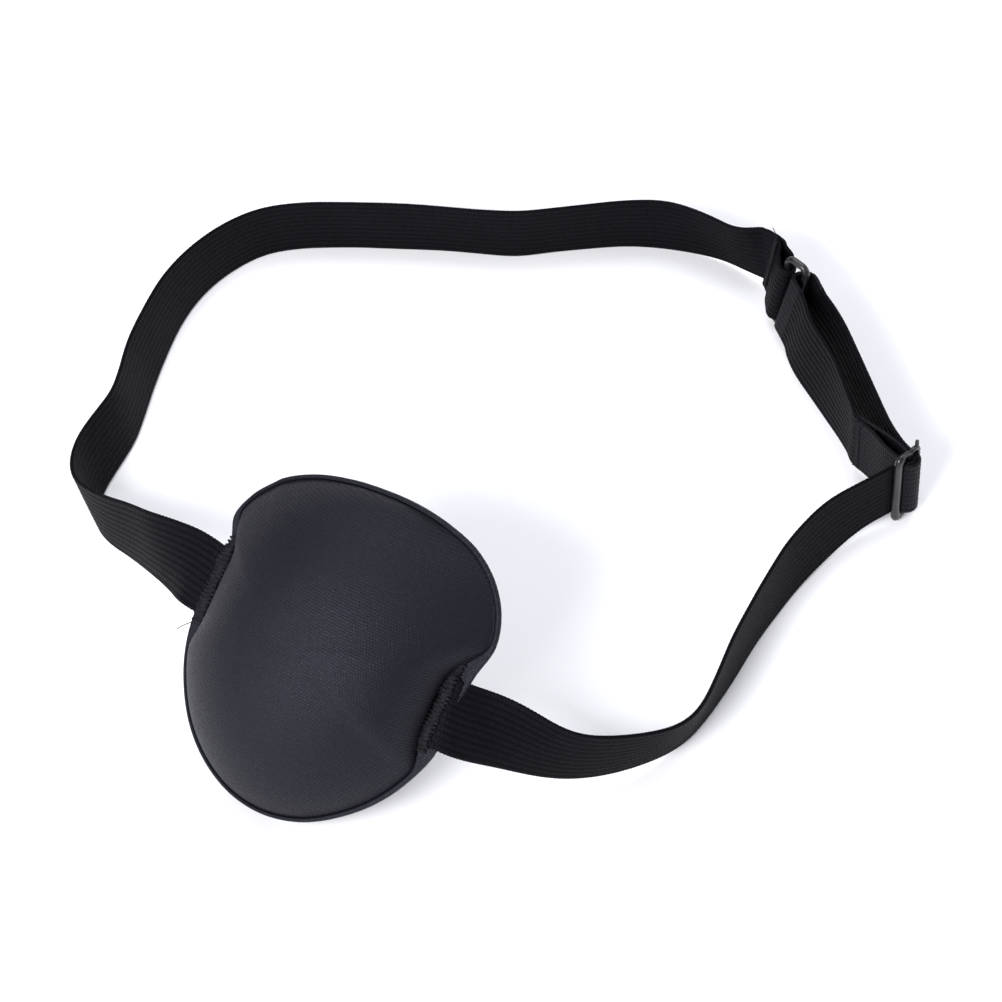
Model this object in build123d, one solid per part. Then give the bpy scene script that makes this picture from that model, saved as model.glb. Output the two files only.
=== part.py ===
from build123d import *
import math
import os

os.makedirs("parts", exist_ok=True)

# ---- Driving dimensions, millimetres and degrees ---------------------------------------
CENTRE_X = -0.35         # shift that puts the middle of the whole object over the origin
CENTRE_Y = -7.85

WEB_WIDTH = 15.0        # ribbed elastic webbing
WEB_THICK = 0.9

PATCH_X = -34.2         # middle of the line between the two strap seams
PATCH_Y = -59.6
PATCH_TURN = -36.0      # heading of that line, from +X
PATCH_TILT = 45.0       # lean of the patch, bottom edge on the table
PATCH_BOTTOM = 36.95    # from the seam line down to the bottom edge
RIM_THICK = 1.6         # pressed edge, all three layers
SKIN_THICK = 0.35       # each fabric layer
SKIN_INSET = 0.8        # how far the fabric layers stop short of the foam's edge
DOME_HEIGHT = 20.0
FOAM_THICK = 4.0        # at the top of the dome
FOAM_FOOT = 2.8         # at the dome's foot
RIM_HALF = 31.0         # middle of the patch to its edge, on average
DOME_STEPS = [0.0, 0.2, 0.4, 0.58, 0.74, 0.87, 0.95, 0.99]
DOME_POWER = 2.3        # fullness of the dome's side
SEAM_U = 28.2           # middle of a seam, from the patch's middle
SEAM_LONG = 20.0
SEAM_WIDE = 2.6
SEAM_THICK = 0.35
SEAM_TALL = 14.4        # of the seams that close the folds
STRAP_END_U = 26.5      # cut end of a strap, just inside its seam

SLIDER_X = 84.0         # middle bar of the slider
SLIDER_Y = -2.95
SLIDER_TURN = 47.0      # heading from the front bar to the back bar
SLIDER_TALL = 20.0
SLIDER_PITCH = 3.3      # between neighbouring bars
SLIDER_BAR_R = 0.7
SLIDER_END_THICK = 1.8
NUB_TALL = 1.2
NUB_R = 0.5
WRAP_R = 2.11           # middle of the strap where it goes over the middle bar
FRONT_WRAP_R = 1.19     # middle of the strap where it goes under the front bar
TAIL_R = 1.18           # middle of the tail where it is folded round the middle bar
SLIDER_WEB_LIFT = 2.4   # lower edge of the webbing in the slider, above the table
TAIL_LONG = 14.2        # from the middle bar to the tail's seam
TAIL_OFFSET = 1.3       # how far that seam stands towards the back bar's side

RING_X = 59.6           # middle of the ring's bar in the sewn loop
RING_Y = 50.6
RING_Z = 10.2
LOOP_TURN = 106.0       # heading from that bar to the sewn loop's seam
LOOP_LEAN = 9.0         # outwards, with the ring
RING_SWING = 32.0       # turn of the ring about that bar, from the sewn loop's line
RING_TALL = 20.0
RING_PITCH = 5.0        # between the two bars
RING_BAR_R = 0.8
RING_CORNER_R = 1.6
FOLD_R = 1.4            # middle of the strap where it goes round the sewn loop's bar
RETURN_R = 2.0          # middle of the strap where it goes loosely round the other bar
RETURN_TURN = 110.0     # heading of the two runs as they reach that bar
RETURN_LEAN = 14.0
RETURN_DROP = 0.5       # how far the loosely held strap has slid down the ring
RETURN_LEG = 3.6        # straight stretch of each run beside that bar
SEWN_LOOP_LONG = 8.4    # from the ring's bar to the sewn loop's seam
SEWN_LOOP_OFFSET = 0.9  # how far that seam stands outside the ring's line
SEAM_FLAT = 2.0         # length over which two sewn layers lie flat together

OVAL_WIDE = 27.0        # half sizes of the plain oval that the dome rounds off to
OVAL_TALL = 33.0

# Outline of the patch's edge in its own plane, seen from the front, clockwise from the
# left seam. The two stretches beside the seams are straight.
RIM_UPPER = [
    (-28.8, 9.0), (-30.4, 13.5), (-28.6, 19.2), (-24.6, 24.6), (-18.6, 28.7), (-11.0, 31.5),
    (-3.0, 33.1), (5.0, 33.8), (13.0, 33.3), (20.5, 31.5), (26.4, 27.9), (30.6, 22.8),
    (32.5, 16.5), (29.4, 9.0),
]
RIM_LOWER = [
    (30.4, -9.0), (28.4, -14.8), (24.4, -22.0), (18.0, -29.0), (10.5, -34.2), (1.5, -36.8),
    (-6.0, -36.4), (-13.0, -33.8), (-19.6, -29.0), (-24.6, -22.6), (-28.0, -15.4),
    (-29.4, -9.0),
]

# Foot of the dome, inside the pressed edge, straighter beside the seams.
DOME_FOOT = [
    (-25.2, 0.0), (-25.6, 9.0), (-25.8, 17.0), (-22.4, 23.2), (-16.6, 27.2), (-9.6, 29.8),
    (-2.6, 31.3), (5.0, 32.0), (12.2, 31.5), (19.2, 29.7), (24.6, 26.2), (27.6, 21.0),
    (27.4, 14.0), (25.4, 6.0), (25.2, -1.0), (25.6, -8.0), (25.8, -14.6), (22.4, -21.0),
    (16.6, -27.2), (9.6, -32.0), (1.4, -34.6), (-5.6, -34.3), (-12.4, -31.8), (-18.4, -27.2),
    (-22.9, -21.4), (-25.6, -14.6), (-25.6, -7.0),
]

# Free stretches of the two straps: the lower edge's place and the lean, outwards positive.
LONG_STRAP = [
    (-66.4, -40.0, 18.7, -23.0), (-69.2, -34.2, 15.6, -8.0), (-72.6, -27.6, 11.6, -1.0),
    (-76.2, -21.2, 7.6, 5.0), (-80.0, -15.2, 4.2, 9.0), (-82.8, -9.4, 1.6, 15.0),
    (-83.8, -3.0, 0.4, 20.0), (-82.4, 3.4, 0.0, 23.0), (-79.6, 10.0, 0.0, 21.0),
    (-76.9, 16.4, 0.0, 18.0), (-75.4, 22.4, 0.0, 18.0), (-73.6, 31.0, 0.0, 19.0),
    (-71.2, 40.0, 0.0, 17.0), (-68.2, 49.6, 0.0, 12.0), (-63.7, 58.0, 0.0, 7.0),
    (-57.9, 64.6, 0.0, 3.0), (-51.0, 69.3, 0.0, 0.0), (-43.4, 71.2, 0.0, -2.0),
    (-35.5, 71.6, 0.0, -3.0), (-24.0, 71.3, 0.0, -3.0), (-12.0, 70.6, 0.0, -4.0),
    (-4.0, 69.7, 0.0, -4.0), (3.5, 69.0, 0.0, -3.0), (11.0, 70.2, 0.0, -4.0),
    (19.0, 71.3, 0.0, -4.0), (27.0, 71.9, 0.0, -2.0), (35.0, 71.3, 0.0, 0.0),
    (42.0, 69.8, 0.1, -3.0), (48.2, 67.3, 0.6, -7.0), (53.2, 64.0, 1.2, -8.0),
]
FRONT_RUN = [
    (-9.0, -82.8, 19.3, -37.0), (-6.0, -81.8, 16.8, -26.0), (-2.6, -80.3, 13.9, -13.0),
    (1.4, -79.0, 11.0, -4.0), (5.6, -78.2, 8.5, 0.0), (10.8, -77.3, 6.0, 4.0),
    (16.4, -75.7, 4.1, 8.0), (21.8, -73.4, 2.6, 12.0), (27.0, -70.8, 1.5, 15.0),
    (31.6, -68.0, 0.8, 18.0), (35.6, -65.0, 0.4, 17.0), (38.8, -61.2, 0.1, 12.0),
    (41.8, -56.8, 0.0, 7.0), (44.5, -52.2, 0.0, 3.0), (46.9, -47.8, 0.0, 0.0),
]
FEED_RUN = [
    (47.1, -47.4, 0.0, 0.0), (49.5, -42.6, 0.0, -1.0), (52.9, -36.2, 0.0, -3.0),
    (56.7, -29.9, 0.0, -5.0), (60.6, -24.0, 0.1, -8.0), (65.0, -18.6, 0.5, -9.0),
    (69.6, -13.4, 0.9, -8.0), (74.2, -8.9, 1.4, -2.0),
]
OUTER_RUN = [
    (81.2, 3.6, 2.4, 1.0), (78.3, 9.6, 2.2, 5.0), (75.4, 16.0, 2.0, 9.0),
    (72.8, 22.8, 1.9, 11.0), (70.4, 29.6, 1.7, 13.0), (68.3, 36.0, 1.5, 14.0),
]
INNER_RUN = [
    (72.4, 12.8, 2.3, 2.0), (70.4, 16.6, 2.1, 5.0), (68.6, 20.4, 2.0, 9.0),
    (66.4, 25.2, 2.1, 13.0), (64.0, 30.4, 2.3, 15.0), (61.9, 35.4, 2.5, 15.0),
]

FLOOR_UP = Vector(0, 0, 1)
HALF_FOAM = RIM_THICK / 2 - SKIN_THICK
GAP = 0.02              # between the layers
RUN_GAP = 0.35          # between a moving run and the strap held by the slider or the ring
LINING_GAP = 0.1        # between the foam and the lining in the hollow

# ---- Frames ----------------------------------------------------------------------------


def heading(degrees):
    return Vector(math.cos(math.radians(degrees)), math.sin(math.radians(degrees)), 0)


def placed(x, y, z):
    return Vector(x - CENTRE_X, y - CENTRE_Y, z)


def patch_frame():
    """Origin midway between the seams, local X along them, local Y up the patch."""
    along = heading(PATCH_TURN)
    back = heading(PATCH_TURN + 90)
    tilt = math.radians(PATCH_TILT)
    up_patch = back * math.cos(tilt) + FLOOR_UP * math.sin(tilt)
    height = PATCH_BOTTOM * math.sin(tilt) + HALF_FOAM * math.cos(tilt)
    return Plane(origin=placed(PATCH_X, PATCH_Y, height), x_dir=along, z_dir=along.cross(up_patch))


def slider_frame():
    """Origin halfway up the middle bar, local X to the back bar, local Y into the loop."""
    z = SLIDER_TALL / 2
    return Plane(
        origin=placed(SLIDER_X, SLIDER_Y, z), x_dir=heading(SLIDER_TURN), z_dir=FLOOR_UP
    )


def leaning_frame(origin, turn, lean):
    """Local X along the heading, local Y into the straps' loop, Z leaning outwards."""
    angle = math.radians(lean)
    upright = FLOOR_UP * math.cos(angle) + heading(turn - 90) * math.sin(angle)
    return Plane(origin=origin, x_dir=heading(turn), z_dir=upright)


PATCH = patch_frame()
SLIDER = slider_frame()
LOOP = leaning_frame(placed(RING_X, RING_Y, RING_Z), LOOP_TURN, LOOP_LEAN)
RING = LOOP * Rot(0, 0, RING_SWING) * Pos(-RING_PITCH, 0, 0)
RETURN = leaning_frame(RING.position, RETURN_TURN, RETURN_LEAN)
SLIDER_WEB_Z = SLIDER_WEB_LIFT - SLIDER_TALL / 2
LOOP_WEB_Z = -WEB_WIDTH / 2
RETURN_WEB_Z = LOOP_WEB_Z - RETURN_DROP
TAIL = SLIDER * Pos(0, 0, SLIDER_WEB_Z)
SEWN_LOOP = LOOP * Pos(0, 0, LOOP_WEB_Z) * Rot(0, 0, -90)

# ---- Straps ----------------------------------------------------------------------------


def free_stations(rows):
    """Stations on the straps' own edges, a leaning edge raised by half its thickness."""
    stations = []
    for x, y, z, lean in rows:
        lift = WEB_THICK / 2 * abs(math.sin(math.radians(lean)))
        stations.append((placed(x, y, z + lift), lean))
    return stations


def local_station(frame, x, y, z, lean):
    return (frame.from_local_coords(Vector(x, y, z)), lean)


def strap(stations, outward):
    """Webbing through the stations. outward is 1 where the loop's inside is on the left."""
    faces = []
    last = len(stations) - 1
    for i, (point, lean) in enumerate(stations):
        before = stations[max(i - 1, 0)][0]
        after = stations[min(i + 1, last)][0]
        along = (after - before).normalized()
        out = along.cross(FLOOR_UP).normalized() * outward
        up = (FLOOR_UP - along * FLOOR_UP.dot(along)).normalized()
        angle = math.radians(lean)
        across = up * math.cos(angle) + out * math.sin(angle)
        middle = point + across * (WEB_WIDTH / 2)
        section = Plane(origin=middle, x_dir=across, z_dir=along)
        faces.append(section * Rectangle(WEB_WIDTH, WEB_THICK))
    return loft(faces, ruled=True)


def folded_end(radius, seam_offset, seam_away):
    """A strap end folded round a bar at the origin and laid back on itself at its seam."""
    seam = Pos(seam_offset, seam_away) * Rectangle(2 * WEB_THICK, SEAM_FLAT)
    pinch = Pos(seam_offset, seam_away - SEAM_FLAT / 2 - 0.4) * Circle(0.05)
    outside = make_hull(Circle(radius + WEB_THICK / 2).edges() + seam.edges())
    hollow = make_hull(Circle(radius - WEB_THICK / 2).edges() + pinch.edges())
    return extrude(outside - hollow, amount=WEB_WIDTH)


def fold_stitching(radius, seam_offset, seam_away, wide):
    """The stitching that closes such a fold, flat on its left side."""
    corner_x = seam_offset - WEB_THICK
    corner_y = seam_away + SEAM_FLAT / 2
    reach = math.hypot(corner_x, corner_y)
    side = math.degrees(math.atan2(corner_y, corner_x))
    side -= math.degrees(math.asin((radius + WEB_THICK / 2) / reach))
    plate = Pos(-SEAM_FLAT / 2, SEAM_THICK / 2 + 0.02, WEB_WIDTH / 2)
    return Pos(corner_x, corner_y) * Rot(0, 0, side) * plate * Box(wide, SEAM_THICK, SEAM_TALL)


def long_strap():
    seam_z = RIM_THICK / 2 + WEB_THICK / 2 + 0.05
    stations = [
        local_station(PATCH, -STRAP_END_U, -WEB_WIDTH / 2, seam_z, -PATCH_TILT),
        local_station(PATCH, -30.2, -WEB_WIDTH / 2, seam_z, -PATCH_TILT),
        local_station(PATCH, -32.0, -WEB_WIDTH / 2, seam_z, -PATCH_TILT),
    ]
    stations += free_stations(LONG_STRAP)
    outer_y = -SEWN_LOOP_OFFSET - WEB_THICK / 2
    stations.append(local_station(LOOP, SEWN_LOOP_LONG + 2.2, outer_y - 0.7, LOOP_WEB_Z, 4.0))
    stations.append(local_station(LOOP, SEWN_LOOP_LONG, outer_y, LOOP_WEB_Z, LOOP_LEAN))
    fold = folded_end(FOLD_R, SEWN_LOOP_OFFSET, SEWN_LOOP_LONG)
    return strap(stations, -1) + SEWN_LOOP * fold


def front_run():
    seam_z = RIM_THICK / 2 + WEB_THICK / 2 + 0.05
    stations = [
        local_station(PATCH, STRAP_END_U, -WEB_WIDTH / 2, seam_z, -PATCH_TILT),
        local_station(PATCH, 30.2, -WEB_WIDTH / 2, seam_z, -PATCH_TILT),
        local_station(PATCH, 32.0, -WEB_WIDTH / 2, seam_z, -PATCH_TILT),
    ]
    stations += free_stations(FRONT_RUN)
    return strap(stations, 1)


def feed_run():
    end = local_station(SLIDER, -4.9, 1.55, SLIDER_WEB_Z, 0.0)
    return strap(free_stations(FEED_RUN) + [end], 1)


def run_end(side):
    """The last two stations of a run, straight into the turn round the ring's loose bar."""
    far = -RETURN_LEG - RUN_GAP
    return [
        local_station(RETURN, far - 1.5, side, RETURN_WEB_Z, RETURN_LEAN),
        local_station(RETURN, far, side, RETURN_WEB_Z, RETURN_LEAN),
    ]


def outer_run():
    start = local_station(SLIDER, WRAP_R + 0.12, 0.9, SLIDER_WEB_Z, 0.0)
    return strap([start] + free_stations(OUTER_RUN) + run_end(-RETURN_R), 1)


def inner_run():
    away = TAIL_LONG + SEAM_FLAT / 2 + RUN_GAP
    start = local_station(SLIDER, TAIL_OFFSET, away, SLIDER_WEB_Z, 0.0)
    return strap([start] + free_stations(INNER_RUN) + run_end(RETURN_R), 1)


def slider_wrap():
    """The strap under the front bar and over the middle bar."""
    under = Line((-4.6, FRONT_WRAP_R), (-SLIDER_PITCH, FRONT_WRAP_R))
    turn = CenterArc((-SLIDER_PITCH, 0), FRONT_WRAP_R, 90, -90)
    over = CenterArc((0, 0), WRAP_R, 180, 180)
    leave = Line((WRAP_R, 0), (WRAP_R, 0.4))
    path = Wire([under, turn, over, leave])
    band = extrude(trace(path, WEB_THICK), amount=WEB_WIDTH)
    return SLIDER * Pos(0, 0, SLIDER_WEB_Z) * band


def tail_loop():
    """The strap's end folded round the middle bar, back to its seam."""
    return TAIL * folded_end(TAIL_R, TAIL_OFFSET, TAIL_LONG)


def ring_return():
    """The strap's turn round the ring's other bar, between the outer and inner runs."""
    come = Line((-RETURN_LEG, -RETURN_R), (0, -RETURN_R))
    turn = CenterArc((0, 0), RETURN_R, -90, 180)
    leave = Line((0, RETURN_R), (-RETURN_LEG, RETURN_R))
    band = extrude(trace(Wire([come, turn, leave]), WEB_THICK), amount=WEB_WIDTH)
    return RETURN * Pos(0, 0, RETURN_WEB_Z) * band


# ---- Hardware --------------------------------------------------------------------------


def ring():
    """One rounded bar bent to a rectangle."""
    half_long = RING_TALL / 2 - RING_BAR_R
    half_wide = RING_PITCH / 2
    path = Plane.XZ * RectangleRounded(2 * half_wide, 2 * half_long, RING_CORNER_R)
    wire = path.wires()[0]
    start = Plane(origin=(half_wide, 0, 0), z_dir=(0, 0, 1))
    return RING * Pos(half_wide, 0, 0) * sweep(start * Circle(RING_BAR_R), path=wire)


def slider():
    """Three upright bars between two end pieces, each of two rounded bumps."""
    end_middle = SLIDER_TALL / 2 - SLIDER_END_THICK / 2
    body = None
    for bar in (-1, 0, 1):
        rod = Pos(bar * SLIDER_PITCH, 0, 0) * Cylinder(SLIDER_BAR_R, 2 * end_middle)
        body = rod if body is None else body + rod
    for side in (-1, 1):
        for bump in (-1, 1):
            tall = SLIDER_END_THICK
            block = Box(SLIDER_PITCH + 2 * SLIDER_BAR_R, 2 * SLIDER_BAR_R, tall)
            block = fillet(block.edges().filter_by(Axis.Y), 0.85)
            body += Pos(bump * SLIDER_PITCH / 2, 0, side * end_middle) * block
    nub = Pos(SLIDER_PITCH - 0.4, 0, SLIDER_TALL / 2 + NUB_TALL / 2 - 0.2)
    body += nub * Cylinder(NUB_R, NUB_TALL + 0.4)
    return SLIDER * body


# ---- Stitching -------------------------------------------------------------------------


def patch_seam(side):
    """A dense bar of stitching over the webbing, with its ends down on the fabric."""
    low = RIM_THICK / 2 + 0.02
    top = RIM_THICK / 2 + 0.05 + WEB_THICK + SEAM_THICK
    tall = top - low
    bar = Pos(0, 0, low + tall / 2) * Box(SEAM_WIDE, SEAM_LONG, tall)
    under = top - SEAM_THICK + 0.02
    room = Pos(0, 0, under / 2) * Box(SEAM_WIDE + 2, WEB_WIDTH + 0.3, under)
    return PATCH * Pos(side * SEAM_U, 0.6, 0) * (bar - Pos(0, -0.6, 0) * room)


def ring_seam():
    return SEWN_LOOP * fold_stitching(FOLD_R, SEWN_LOOP_OFFSET, SEWN_LOOP_LONG, 1.8)


def tail_seam():
    return TAIL * fold_stitching(TAIL_R, TAIL_OFFSET, TAIL_LONG, 1.6)


# ---- Patch -----------------------------------------------------------------------------


def rim_face(inset):
    upper = Spline(RIM_UPPER)
    right = Line(RIM_UPPER[-1], RIM_LOWER[0])
    lower = Spline(RIM_LOWER)
    left = Line(RIM_LOWER[-1], RIM_UPPER[0])
    face = make_face(Wire([upper, right, lower, left]))
    return scale(face, by=1 - inset / RIM_HALF)


def dome(inset, height, start):
    """A domed solid, its sections rounder the higher they are."""
    foot_size = 1 - inset / RIM_HALF
    faces = []
    for share in DOME_STEPS:
        size = foot_size * (1 - share ** DOME_POWER) ** (1 / DOME_POWER)
        points = [toward_oval(x, y, share) for x, y in DOME_FOOT]
        section = make_face(Spline([point * size for point in points], periodic=True))
        faces.append(Pos(0, 0, start + share * (height - start)) * section)
    return loft(faces)


def toward_oval(x, y, share):
    """The foot's point (x, y) moved part of the way to the dome's plain oval."""
    angle = math.atan2(y / OVAL_TALL, x / OVAL_WIDE)
    oval = Vector(OVAL_WIDE * math.cos(angle), OVAL_TALL * math.sin(angle), 0)
    return Vector(x, y, 0) * (1 - share) + oval * share


def plate(inset, low, high):
    return Pos(0, 0, low) * extrude(rim_face(inset), amount=high - low)


def foam_cup():
    rim = plate(0, -HALF_FOAM, HALF_FOAM)
    outside = dome(SKIN_THICK + GAP, DOME_HEIGHT - SKIN_THICK - GAP, 0)
    inside = dome(FOAM_FOOT, DOME_HEIGHT - FOAM_THICK, -HALF_FOAM - 0.01)
    return PATCH * (rim + outside - inside)


def front_cover():
    low = HALF_FOAM + GAP
    rim = plate(SKIN_INSET, low, low + SKIN_THICK)
    outside = dome(0, DOME_HEIGHT, 0)
    room = dome(SKIN_THICK, DOME_HEIGHT - SKIN_THICK, 0)
    below = Pos(0, 0, low - 50) * Box(200, 200, 100)
    return PATCH * (rim + outside - room - below)


def back_lining():
    high = -HALF_FOAM - GAP
    top = DOME_HEIGHT - FOAM_THICK - LINING_GAP
    foot = FOAM_FOOT + LINING_GAP
    rim = plate(SKIN_INSET, high - SKIN_THICK, high)
    outside = dome(foot, top, high - SKIN_THICK)
    hollow = dome(foot + SKIN_THICK, top - SKIN_THICK, high - SKIN_THICK - 0.01)
    return PATCH * (rim + outside - hollow)


PIECES = {
    "foam_cup": foam_cup,
    "front_cover": front_cover,
    "back_lining": back_lining,
    "patch_seam_left": lambda: patch_seam(-1),
    "patch_seam_right": lambda: patch_seam(1),
    "long_strap": long_strap,
    "ring": ring,
    "ring_seam": ring_seam,
    "slider": slider,
    "strap_front_run": front_run,
    "strap_feed_run": feed_run,
    "strap_slider_wrap": slider_wrap,
    "strap_outer_run": outer_run,
    "strap_ring_return": ring_return,
    "strap_inner_run": inner_run,
    "strap_tail_loop": tail_loop,
    "tail_seam": tail_seam,
}

for name, make in PIECES.items():
    export_step(make(), f"parts/{name}.step")
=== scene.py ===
import math

import bpy
import numpy as np
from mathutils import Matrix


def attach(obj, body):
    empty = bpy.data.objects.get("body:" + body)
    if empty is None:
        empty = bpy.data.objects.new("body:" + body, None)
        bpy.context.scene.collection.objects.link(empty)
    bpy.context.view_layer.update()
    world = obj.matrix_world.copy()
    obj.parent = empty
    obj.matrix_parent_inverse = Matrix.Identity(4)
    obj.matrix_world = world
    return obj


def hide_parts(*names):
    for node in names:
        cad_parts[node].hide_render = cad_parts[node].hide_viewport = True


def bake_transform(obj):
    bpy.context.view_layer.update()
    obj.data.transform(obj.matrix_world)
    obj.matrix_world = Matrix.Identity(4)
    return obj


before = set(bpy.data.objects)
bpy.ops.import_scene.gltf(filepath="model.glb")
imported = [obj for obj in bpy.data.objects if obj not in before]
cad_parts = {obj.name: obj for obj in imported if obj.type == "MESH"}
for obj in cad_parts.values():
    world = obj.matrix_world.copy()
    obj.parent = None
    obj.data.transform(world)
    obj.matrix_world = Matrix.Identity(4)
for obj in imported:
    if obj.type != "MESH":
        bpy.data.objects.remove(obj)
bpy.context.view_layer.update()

MM = 0.001
ROOT, SLIDER_BODY, RING_BODY = "patch_and_straps", "slider", "ring"

# ---- Sizes shared with the CAD source, millimetres and degrees -------------------------
CENTRE = np.array([-0.35, -7.85, 0.0])
WEB_WIDTH, WEB_THICK = 15.0, 0.9
PATCH_X, PATCH_Y, PATCH_TURN, PATCH_TILT, PATCH_BOTTOM = -34.2, -59.6, -36.0, 45.0, 36.95
RIM_THICK, SKIN_THICK, SKIN_INSET = 1.6, 0.35, 0.8
DOME_HEIGHT, FOAM_THICK, FOAM_FOOT, DOME_POWER, RIM_HALF = 20.0, 4.0, 2.8, 2.3, 31.0
SEAM_U, SEAM_LONG, SEAM_WIDE, STRAP_END_U = 28.2, 20.0, 2.6, 26.5
SLIDER_X, SLIDER_Y, SLIDER_TURN, SLIDER_TALL, SLIDER_PITCH = 84.0, -2.95, 47.0, 20.0, 3.3
SLIDER_WEB_LIFT = 2.4
WRAP_R, FRONT_WRAP_R, TAIL_R, TAIL_LONG, TAIL_OFFSET = 2.11, 1.19, 1.18, 14.2, 1.3
RING_X, RING_Y, RING_Z, LOOP_TURN, LOOP_LEAN, RING_SWING = 59.6, 50.6, 10.2, 106.0, 9.0, 32.0
RING_PITCH, FOLD_R, SEWN_LOOP_LONG, SEWN_LOOP_OFFSET = 5.0, 1.55, 7.8, 0.9
RETURN_R, RETURN_TURN, RETURN_LEAN, RETURN_DROP, RETURN_LEG = 2.0, 110.0, 14.0, 0.5, 3.6
RUN_GAP = 0.35          # between a moving run and the strap held by the slider or the ring
OVAL_WIDE, OVAL_TALL = 27.0, 33.0
DOME_SIDE = 0.62        # fullness of the dome's side, lower for a rounder foot
RETURN_WIDE = 3.2       # the strap hangs away from the bar on the loop's inside
LOOP_DROP = 0.6         # how far the sewn loop has slid down the ring

RIM = [
    (-28.8, 9.0), (-30.4, 13.5), (-28.6, 19.2), (-24.6, 24.6), (-18.6, 28.7), (-11.0, 31.5),
    (-3.0, 33.1), (5.0, 33.8), (13.0, 33.3), (20.5, 31.5), (26.4, 27.9), (30.6, 22.8),
    (32.6, 16.5), (31.2, 9.0), (30.4, 0.0), (30.4, -9.0), (28.4, -14.8), (24.4, -22.0),
    (18.0, -29.0), (10.5, -34.2), (1.5, -36.8), (-6.0, -36.4), (-13.0, -33.8),
    (-19.6, -29.0), (-24.6, -22.6), (-28.0, -15.4), (-29.4, -9.0), (-29.1, 0.0),
]
DOME_FOOT = [
    (-25.2, 0.0), (-25.6, 9.0), (-25.8, 17.0), (-22.4, 23.2), (-16.6, 27.2), (-9.6, 29.8),
    (-2.6, 31.3), (5.0, 32.0), (12.2, 31.5), (19.2, 29.7), (24.6, 26.2), (27.6, 21.0),
    (27.4, 14.0), (25.4, 6.0), (25.2, -1.0), (25.6, -8.0), (25.8, -14.6), (22.4, -21.0),
    (16.6, -27.2), (9.6, -32.0), (1.4, -34.6), (-5.6, -34.3), (-12.4, -31.8), (-18.4, -27.2),
    (-22.9, -21.4), (-25.6, -14.6), (-25.6, -7.0),
]
# Free stretches of the straps: the lower edge's place and the lean, outwards positive.
LONG_STRAP = [
    (-66.4, -40.0, 18.7, -23.0), (-69.2, -34.2, 15.6, -8.0), (-72.6, -27.6, 11.6, -1.0),
    (-76.2, -21.2, 7.6, 5.0), (-80.0, -15.2, 4.2, 9.0), (-82.8, -9.4, 1.6, 15.0),
    (-83.8, -3.0, 0.4, 20.0), (-82.4, 3.4, 0.0, 23.0), (-79.6, 10.0, 0.0, 21.0),
    (-76.9, 16.4, 0.0, 18.0), (-75.4, 22.4, 0.0, 18.0), (-73.6, 31.0, 0.0, 19.0),
    (-71.2, 40.0, 0.0, 17.0), (-68.2, 49.6, 0.0, 12.0), (-63.7, 58.0, 0.0, 7.0),
    (-57.9, 64.6, 0.0, 3.0), (-51.0, 69.3, 0.0, 0.0), (-43.4, 71.2, 0.0, -2.0),
    (-35.5, 71.6, 0.0, -3.0), (-24.0, 71.3, 0.0, -3.0), (-12.0, 70.6, 0.0, -4.0),
    (-4.0, 69.7, 0.0, -4.0), (3.5, 69.0, 0.0, -3.0), (11.0, 70.2, 0.0, -4.0),
    (19.0, 71.3, 0.0, -4.0), (27.0, 71.9, 0.0, -2.0), (35.0, 71.3, 0.0, 0.0),
    (42.0, 69.7, 0.1, -4.0), (48.2, 67.2, 0.5, -9.0), (53.2, 63.8, 0.9, -10.0),
]
FRONT_STRAP = [
    (-9.0, -82.8, 19.3, -37.0), (-6.0, -81.8, 16.8, -26.0), (-2.6, -80.3, 13.9, -13.0),
    (1.4, -79.0, 11.0, -4.0), (5.6, -78.2, 8.5, 0.0), (10.8, -77.3, 6.0, 4.0),
    (16.4, -75.7, 4.1, 8.0), (21.8, -73.4, 2.6, 12.0), (27.0, -70.8, 1.5, 15.0),
    (31.6, -68.0, 0.8, 18.0), (35.6, -65.0, 0.4, 17.0), (38.8, -61.2, 0.1, 12.0),
    (41.8, -56.8, 0.0, 7.0), (44.5, -52.2, 0.0, 3.0), (47.0, -47.6, 0.0, 0.0),
    (49.5, -42.6, 0.0, -1.0), (52.9, -36.2, 0.0, -3.0), (56.7, -29.9, 0.0, -5.0),
    (60.6, -24.0, 0.1, -8.0), (65.0, -18.6, 0.5, -9.0), (69.6, -13.4, 0.9, -8.0),
    (74.2, -8.9, 1.4, -2.0),
]
OUTER_RUN = [
    (81.2, 3.6, 2.4, 1.0), (78.3, 9.6, 2.2, 5.0), (75.4, 16.0, 2.0, 9.0),
    (72.8, 22.8, 1.9, 11.0), (70.4, 29.6, 1.7, 13.0), (68.3, 36.0, 1.5, 14.0),
]
INNER_RUN = [
    (72.4, 12.8, 2.3, 2.0), (70.4, 16.6, 2.1, 5.0), (68.6, 20.4, 2.0, 9.0),
    (66.2, 25.1, 2.1, 13.0), (63.4, 30.2, 2.3, 15.0), (61.0, 35.1, 2.5, 15.0),
]

# ---- Detail sizes, millimetres ---------------------------------------------------------
RIBS = 11
RIB_DEPTH = 0.15
RIB_SAMPLES = 4
EDGE_ROUND = 0.42
SCALLOP_PITCH = 0.8
SCALLOP_DEPTH = 0.16
WEB_STEP = 0.27
EASE_STEP = 0.4
CURVE_STEP = 0.3
RUN_WANDER, HELD_WANDER = 0.05, 0.02
THREAD_R = 0.15
SEAM_THREAD_R = 0.22
FOLD_SEAM_HALF = 7.1
STITCH_LONG = 0.62      # of one knitted stitch along the webbing
UP = np.array([0.0, 0.0, 1.0])


# ---- Frames ----------------------------------------------------------------------------
def heading(degrees):
    a = math.radians(degrees)
    return np.array([math.cos(a), math.sin(a), 0.0])


def unit(v):
    return v / np.linalg.norm(v, axis=-1, keepdims=True)


def placed(x, y, z):
    return np.array([x, y, z], float) - CENTRE


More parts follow.
